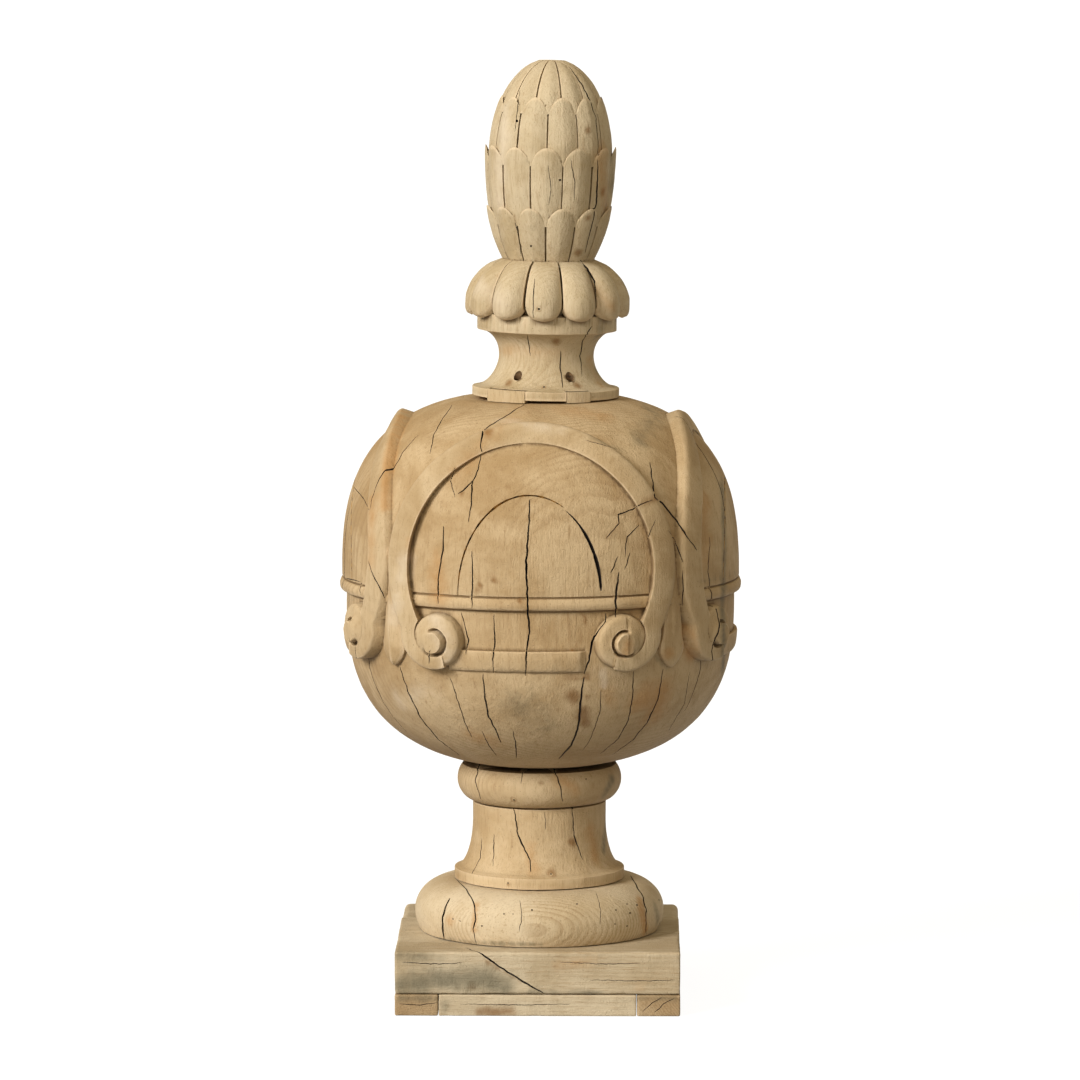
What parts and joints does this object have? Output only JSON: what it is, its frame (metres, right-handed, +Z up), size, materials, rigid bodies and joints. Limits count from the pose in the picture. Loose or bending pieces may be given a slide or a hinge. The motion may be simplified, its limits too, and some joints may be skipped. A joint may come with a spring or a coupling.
{
  "type": "roof finial",
  "caption": "Tall carved wooden roof finial: boarded plinth, turned foot and stem, round ball with ring-and-volute carving, petal skirt and scaled cone.",
  "frame": {"origin": "centre of the plinth's underside, on the plane that the finial stands on", "axes": "+Z up through the plinth, towards the cone; -Y towards the front motif; +X to the right seen from the front"},
  "size_m": [0.485, 0.485, 1.1297],
  "materials": {
    "pale_oak": "bare weathered hardwood, dry and matte",
    "ball_oak": "bare weathered hardwood, browner, with drying cracks",
    "grey_pine": "sawn boards, greyed and stained",
    "end_grain": "sawn cleats with their end grain to the front"
  },
  "bodies": {
    "root": {"left_cleat": "end_grain", "base_board": "grey_pine", "right_cleat": "end_grain", "plinth_front_board": "grey_pine", "plinth_middle_board": "grey_pine", "plinth_back_board": "grey_pine", "foot_ring": "pale_oak", "stem": "pale_oak", "collar_ring": "pale_oak", "body": "ball_oak", "top_carving": "pale_oak", "rim_patch_left": "grey_pine", "rim_patch_right": "grey_pine", "rim_wedge": "grey_pine"}
  },
  "joints": []
}
